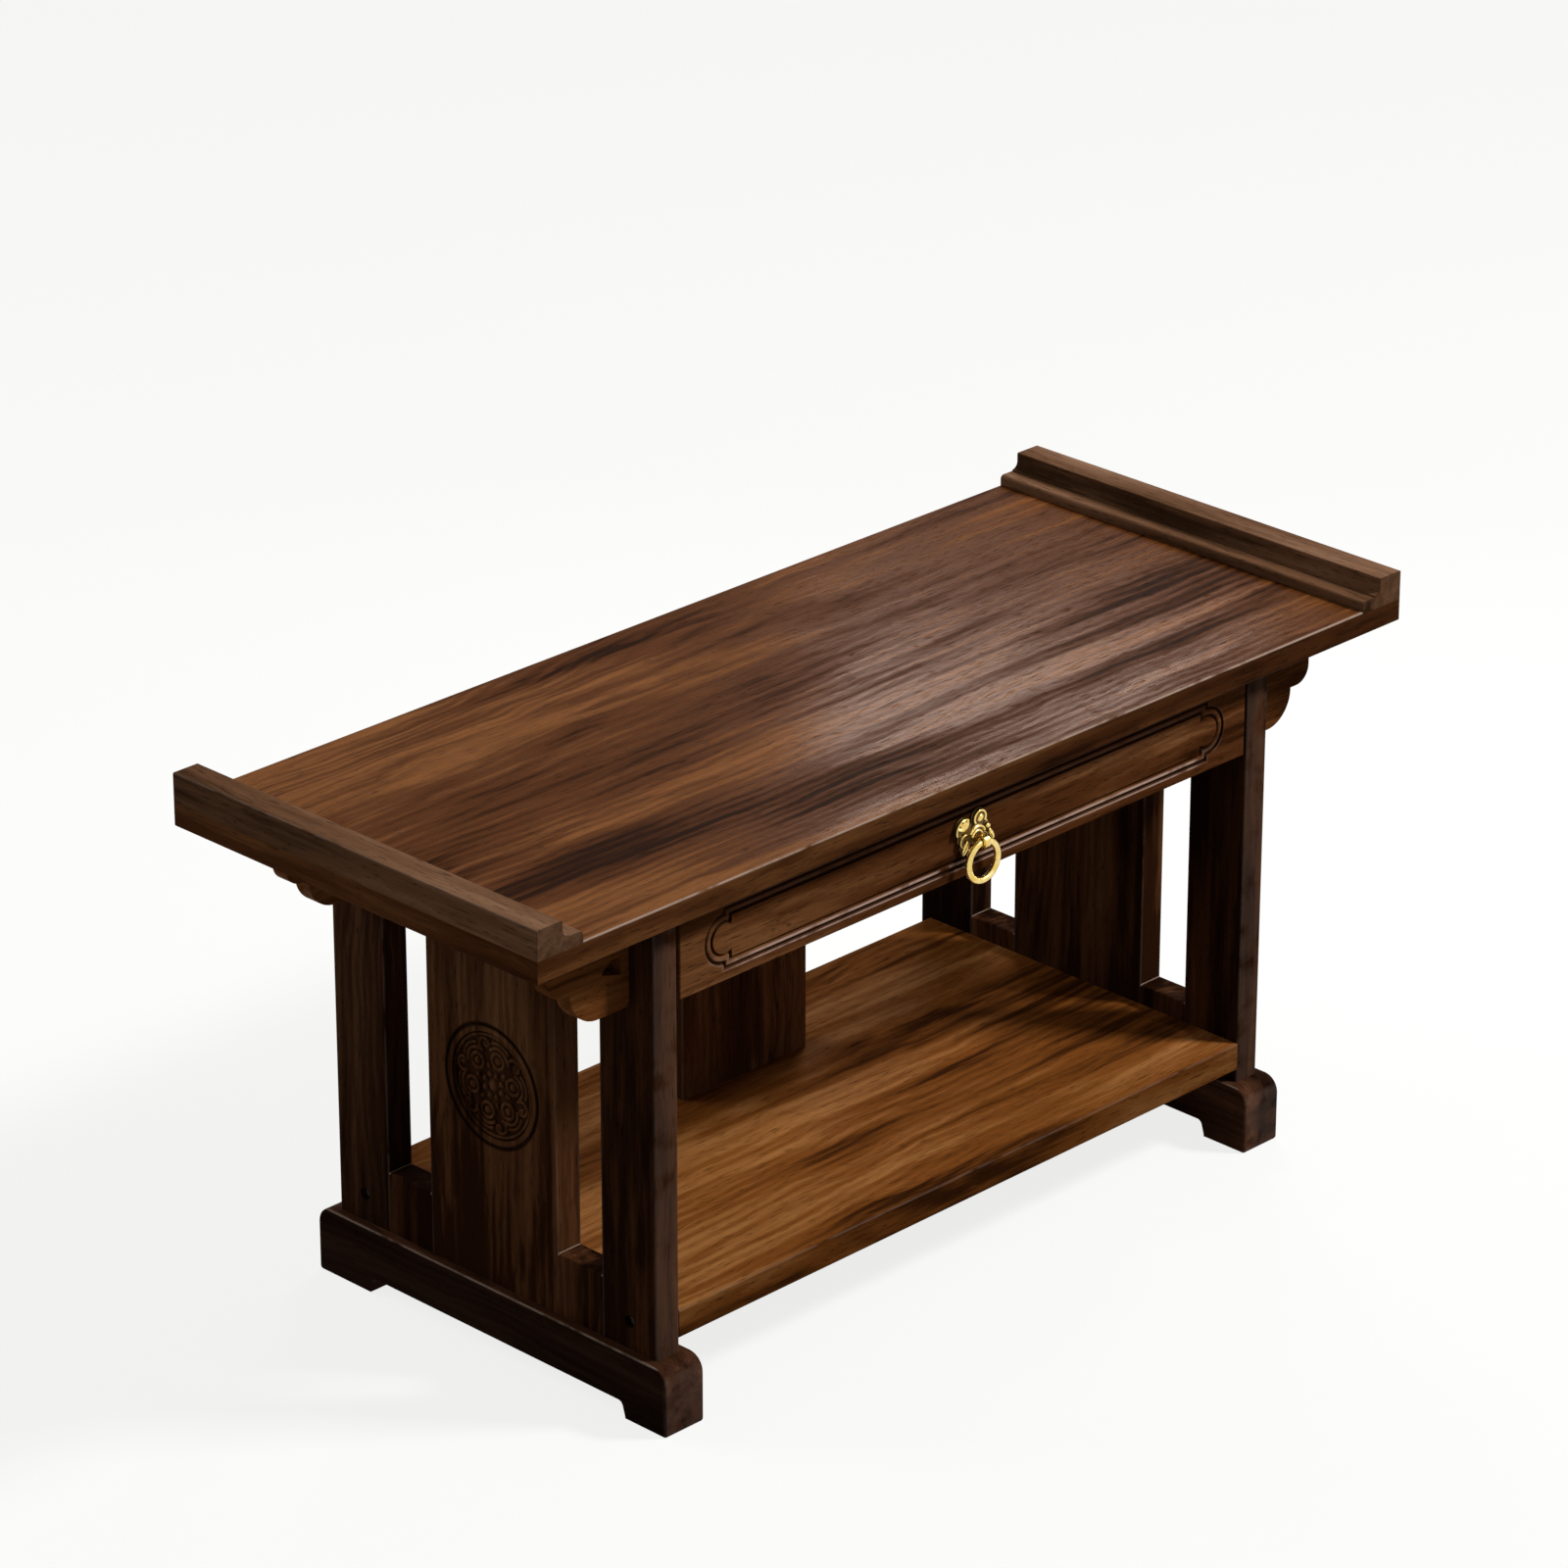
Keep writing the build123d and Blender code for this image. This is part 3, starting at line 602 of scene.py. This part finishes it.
def add_bead(drawing, u, v, radius, wire, start, sweep, height, base):
    """A round bead swept about a place, from one angle on and through the sweep, in degrees."""
    made = bmesh.ops.create_circle(drawing, segments=BEAD_SIDES, radius=wire, cap_ends=False)
    corners = made["verts"]
    edges = list({edge for corner in corners for edge in corner.link_edges})
    flatten = Matrix.Diagonal((1.0, height / wire, 1.0, 1.0))
    stand = Matrix.Rotation(math.radians(90.0), 4, "X")
    place = (Matrix.Translation((u, v, base)) @ Matrix.Rotation(math.radians(start), 4, "Z")
             @ Matrix.Translation((radius, 0.0, 0.0)) @ stand @ flatten)
    bmesh.ops.transform(drawing, matrix=place, verts=corners)
    whole = abs(sweep) >= 360.0
    steps_round = max(16, radius * 6)
    steps = max(4, round(abs(sweep) / 360.0 * steps_round))
    swept = bmesh.ops.spin(drawing, geom=corners + edges, cent=(u, v, base), axis=(0, 0, 1),
                           angle=math.radians(sweep), steps=steps, use_merge=whole)
    if not whole:
        last = [item for item in swept["geom_last"] if isinstance(item, bmesh.types.BMEdge)]
        for ring in (edges, last):
            bmesh.ops.edgeloop_fill(drawing, edges=ring)


def add_scroll(drawing, u, v, radius, wire, start, sweep, height, base):
    """A bead that ends in a curl: a long arc, a tighter one inside its end and a button in the curl."""
    add_bead(drawing, u, v, radius, wire, start, sweep, height, base)
    end = math.radians(start + sweep)
    curl = radius * CURL_SHARE
    curl_u = u + (radius - curl) * math.cos(end)
    curl_v = v + (radius - curl) * math.sin(end)
    curl_sweep = math.copysign(CURL_SWEEP, sweep)
    add_bead(drawing, curl_u, curl_v, curl, wire * 0.85, start + sweep, curl_sweep, height, base)
    add_dome(drawing, curl_u, curl_v, wire * 0.9, wire * 0.9, height * 0.9, base)


def mesh_of(drawing, name):
    """Turn a drawing into a mesh."""
    mesh = bpy.data.meshes.new(name)
    drawing.to_mesh(mesh)
    drawing.free()
    return mesh


def put_in_scene(name, data):
    """Make an object of a mesh, a camera or a lamp."""
    made = bpy.data.objects.new(name, data)
    bpy.context.scene.collection.objects.link(made)
    return made


def dress_smooth(mesh, material):
    """Shade a mesh as one smooth surface, all in one finish."""
    for face in mesh.polygons:
        face.use_smooth = True
    mesh.materials.clear()
    mesh.materials.append(material)


def piece_from(drawing, name, place, body, material):
    """Turn a drawing in millimetres into a finished piece of the table."""
    bmesh.ops.transform(drawing, matrix=place @ Matrix.Scale(MM, 4), verts=drawing.verts)
    bmesh.ops.recalc_face_normals(drawing, faces=drawing.faces)
    mesh = mesh_of(drawing, name)
    dress_smooth(mesh, material)
    piece = put_in_scene(name, mesh)
    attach(piece, body)
    return piece


print("domes and beads ready")

# %% [markdown]
# The flowers stand on a circle about the boss. Each has a button, a round bead about it and two bands of
# cloud towards the rim, and a scroll fills the room between two flowers. A bead runs round the whole field.
# The field is 2.5 millimetres deep and nothing stands higher than its edge.

# %% Carve the roundels
FIELD_DEPTH = 2.5 * MM
SINK = -0.35
PETALS, PETAL_CIRCLE = 8, 8.0
FLOWERS, FLOWER_CIRCLE = 6, 19.3
BUD_CIRCLE, SCROLL_CIRCLE = 13.9, 27.6
RIM_CIRCLE = 35.0


def around(radius, degrees):
    """A place on a circle about the roundel's middle."""
    return radius * math.cos(math.radians(degrees)), radius * math.sin(math.radians(degrees))


def add_flower(drawing, degrees):
    """A small round flower, with two bands of cloud that bend about it towards the rim."""
    u, v = around(FLOWER_CIRCLE, degrees)
    add_bead(drawing, u, v, 5.3, 1.45, 0, 360, 2.75, SINK)
    add_dome(drawing, u, v, 3.3, 3.3, 2.8, SINK)
    add_bead(drawing, u, v, 9.0, 1.45, degrees - 62.0, 124.0, 2.7, SINK)
    add_bead(drawing, u, v, 12.3, 1.25, degrees - 40.0, 80.0, 2.5, SINK)


def add_filling(drawing, degrees):
    """The scroll and the bud between two flowers."""
    u, v = around(SCROLL_CIRCLE, degrees)
    add_scroll(drawing, u, v, 4.9, 1.30, degrees + 150.0, -215.0, 2.7, SINK)
    u, v = around(BUD_CIRCLE, degrees)
    add_dome(drawing, u, v, 2.6, 1.7, 2.5, SINK, degrees)


def roundel_drawing():
    drawing = bmesh.new()
    for petal in range(PETALS):
        turn = (petal + 0.5) * 360.0 / PETALS
        u, v = around(PETAL_CIRCLE, turn)
        add_dome(drawing, u, v, 2.4, 2.3, 2.5, SINK, turn)
    flower_gap = 360.0 / FLOWERS
    for flower in range(FLOWERS):
        turn = -105.0 + flower_gap * flower
        add_flower(drawing, turn)
        add_filling(drawing, turn + flower_gap / 2)
    add_bead(drawing, 0, 0, RIM_CIRCLE, 1.15, 0, 360, 2.7, SINK)
    return drawing


ONTO_SIDE = Matrix(((0, 0, 1, SIDE_FACE - FIELD_DEPTH),
                    (1, 0, 0, 0),
                    (0, 1, 0, ROUNDEL_RISE),
                    (0, 0, 0, 1)))
ROUNDEL_TURNS = {"left": Matrix.Rotation(math.pi, 4, "Z"), "right": Matrix.Identity(4)}
for side, half_turn in ROUNDEL_TURNS.items():
    carving = piece_from(roundel_drawing(), "roundel_carving_" + side, half_turn @ ONTO_SIDE, "table",
                         wood["centre_board_" + side])
    print(carving.name, len(carving.data.polygons), "faces")

# %% [markdown]
# The plate behind the pull is one brass casting in the shape of a curling cloud. The plain lobed plate of
# the construction file gives its outline and its piercings. The relief is laid over it in the same domes and
# beads, and a fine remesh then runs all of it together, as the metal did in the mould.

# %% Cast the pull's plate
PLATE_BACK = -148.5 * MM
PLATE_MIDDLE = 321.2 * MM
PLATE_FACE = 3.2
PLATE_LOBES = ((158.0, 4.2), (128.0, 5.0), (98.0, 5.2), (68.0, 4.6))
PLATE_GRAIN = 0.24 * MM
PLATE_SMOOTHINGS = 2


def plate_relief(drawing):
    """Lobes at the upper left, curls about the slit and leaves at the sides, all partly sunk in the plate."""
    low = PLATE_FACE - 0.6
    for turn, reach in PLATE_LOBES:
        lobe_u = -11.4 + 3.4 * math.cos(math.radians(turn))
        lobe_v = 5.2 + 3.6 * math.sin(math.radians(turn))
        add_dome(drawing, lobe_u, lobe_v, reach, 1.5, 2.1, low, turn)
    add_bead(drawing, -11.8, 5.6, 7.3, 0.9, 60, 140, 1.5, low)
    add_bead(drawing, 2.4, 10.2, 5.1, 1.1, -35, 250, 1.7, low)
    add_dome(drawing, 2.7, 10.0, 3.3, 2.5, 2.0, low, 35)
    add_dome(drawing, 8.3, 6.6, 1.6, 1.0, 1.3, low, -40)
    add_dome(drawing, 9.9, 2.4, 2.6, 1.8, 2.0, low, -10)
    add_dome(drawing, 13.2, -4.3, 5.2, 2.0, 2.3, low, -62)
    add_bead(drawing, -11.0, -2.6, 4.4, 0.85, 70, 170, 1.3, low)
    add_dome(drawing, -10.9, -7.6, 5.6, 2.5, 1.9, low, -115)
    add_bead(drawing, -7.2, -5.2, 4.0, 0.8, 190, 120, 1.3, low)
    add_bead(drawing, 5.0, -5.6, 5.0, 1.0, -120, 200, 1.3, low - 0.3)
    add_dome(drawing, 4.8, -6.2, 2.0, 2.0, 1.3, low - 0.3)
    add_bead(drawing, 0.0, -2.0, 7.0, 1.3, 20, 135, 2.0, low)
    add_bead(drawing, 0.0, -2.6, 4.6, 1.1, 10, 160, 1.8, low)


def hollow_of_plate(wiring):
    """1 in the plate's low places and 0 on the forms that stand over them."""
    _, y, _ = wiring.parts(wiring.place())
    height = PLATE_BACK - y
    patchy = height + (wiring.noise(wiring.place(), 900.0, 2.0) - 0.5) * 0.5 * MM
    level = 1 - patchy.step((PLATE_FACE + 0.10) * MM, (PLATE_FACE + 0.75) * MM)
    return level * 0.93


def cast_plate():
    """Lay the relief over the plain plate, run them together and take off the sharpness."""
    drawing = bmesh.new()
    plate_relief(drawing)
    bmesh.ops.transform(drawing, matrix=Matrix.Scale(MM, 4), verts=drawing.verts)
    face_up = Matrix(((1, 0, 0, 0), (0, 0, -1, PLATE_BACK), (0, 1, 0, PLATE_MIDDLE), (0, 0, 0, 1)))
    bmesh.ops.transform(drawing, matrix=face_up, verts=drawing.verts)
    drawing.from_mesh(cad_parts["pull_plate"].data)
    bmesh.ops.remove_doubles(drawing, verts=drawing.verts, dist=0.002 * MM)
    bmesh.ops.recalc_face_normals(drawing, faces=drawing.faces)
    piece = put_in_scene("cast_plate", mesh_of(drawing, "cast_plate"))

    fuse = piece.modifiers.new("run_together", "REMESH")
    fuse.mode = "VOXEL"
    fuse.voxel_size = PLATE_GRAIN
    fused = bpy.data.meshes.new_from_object(piece.evaluated_get(bpy.context.evaluated_depsgraph_get()))
    piece.modifiers.clear()
    soften = bmesh.new()
    soften.from_mesh(fused)
    for _ in range(PLATE_SMOOTHINGS):
        bmesh.ops.smooth_vert(soften, verts=soften.verts, factor=0.5,
                              use_axis_x=True, use_axis_y=True, use_axis_z=True)
    soften.to_mesh(fused)
    soften.free()
    piece.data = fused
    dress_smooth(fused, brass_finish(hollow_of_plate))
    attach(piece, "drawer")
    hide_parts("pull_plate")
    return piece


plate = cast_plate()
print("plate cast", len(plate.data.polygons), "faces")

# %% [markdown]
# Under the table is a plain pale floor. It is far larger than the view. What it throws back onto the table
# is the light of a grey floor, and where the camera or a polished surface looks at it, it is mixed with an
# even white that fades into the background. The table's shadow still shows on it.

# %% Floor
FLOOR_HALF = 12.0
FLOOR_GREY = 0.26
FLOOR_TONES = ((0.86, 0.86, 0.85), (0.90, 0.90, 0.89))
FLOOR_WHITE = (1.0, 1.0, 0.99)
FLOOR_WHITE_SHARE = 0.82


def floor_finish():
    """Grey where light is gathered, and nearly white where the floor is looked at."""
    wiring = finish("pale_floor")
    speck = wiring.noise(wiring.place(), 60.0, 3.0)
    bump = wiring.node("ShaderNodeBump", {}, {"Strength": 1.0, "Distance": 0.1 * MM, "Height": speck})
    shown = wiring.blend(speck, *FLOOR_TONES)
    colour = wiring.blend(wiring.seen(), (FLOOR_GREY, FLOOR_GREY, FLOOR_GREY), shown)
    matt = wiring.node("ShaderNodeBsdfDiffuse", {}, {"Color": colour, "Normal": bump.outputs[0]})
    white = wiring.node("ShaderNodeEmission", {}, {"Color": FLOOR_WHITE, "Strength": 1.0})
    share = wiring.seen() * FLOOR_WHITE_SHARE
    mixed = wiring.node("ShaderNodeMixShader", {}, {0: share, 1: matt.outputs[0], 2: white.outputs[0]})
    wiring.node("ShaderNodeOutputMaterial", {}, {"Surface": mixed.outputs[0]})
    return wiring.owner


floor_drawing = bmesh.new()
bmesh.ops.create_grid(floor_drawing, x_segments=1, y_segments=1, size=FLOOR_HALF)
floor = put_in_scene("floor", mesh_of(floor_drawing, "floor"))
floor.data.materials.append(floor_finish())
print("floor laid")

# %% [markdown]
# The photograph was taken from the table's front left, a little above it, with a long lens: upright edges
# stay upright and far edges hardly shrink. The camera's place was worked out from the table's own corners.

# %% Camera
AZIMUTH = math.radians(-45.36)
ELEVATION = math.radians(24.0)
CAMERA_PLACE = (-2.8940, -2.8358, 2.1121)
SENSOR_WIDTH, FOCAL_LENGTH = 36.0, 155.466

lens = bpy.data.cameras.new("camera")
lens.sensor_width = SENSOR_WIDTH
lens.lens = FOCAL_LENGTH
camera = put_in_scene("camera", lens)
camera.location = CAMERA_PLACE
camera.rotation_euler = (math.pi / 2 - ELEVATION, 0.0, AZIMUTH)
bpy.context.scene.camera = camera
print("camera set")

# %% [markdown]
# The light is that of a plain studio: a large soft lamp high on the front right, which draws the shadows to
# the rear left as in the photograph, a broad one behind on the left, and a small low panel close behind the
# table's right end, whose reflection lies as a sheen on the lacquered top. The world around is an even pale
# grey that the camera and polished metal see as white.

# %% Light
WORLD_LEVEL = 0.24


def lamp(name, place, aim, size, power):
    """A flat lamp at a place, turned towards its aim."""
    data = bpy.data.lights.new(name, "AREA")
    data.shape = "RECTANGLE"
    data.size, data.size_y = size
    data.energy = power
    holder = put_in_scene(name, data)
    holder.location = place
    direction = Vector(aim) - Vector(place)
    holder.rotation_euler = direction.to_track_quat("-Z", "Y").to_euler()


lamp("key", place=(2.0, -2.35, 3.2), aim=(0.0, 0.0, 0.2), size=(0.7, 0.7), power=170.0)
lamp("back", place=(-1.6, 2.8, 2.4), aim=(0.0, 0.0, 0.2), size=(2.0, 1.2), power=34.0)
lamp("sheen", place=(0.83, 0.55, 0.82), aim=(0.06, -0.16, 0.37), size=(0.36, 0.14), power=3.7)

world = bpy.data.worlds.new("studio")
bpy.context.scene.world = world
sky = Wiring(world)
strength = sky.seen() * (1.0 - WORLD_LEVEL) + WORLD_LEVEL
backdrop = sky.node("ShaderNodeBackground", {}, {"Color": (1.0, 1.0, 1.0), "Strength": strength})
sky.node("ShaderNodeOutputWorld", {}, {"Surface": backdrop.outputs[0]})
bpy.context.scene.view_settings.view_transform = "Standard"
print("light set")
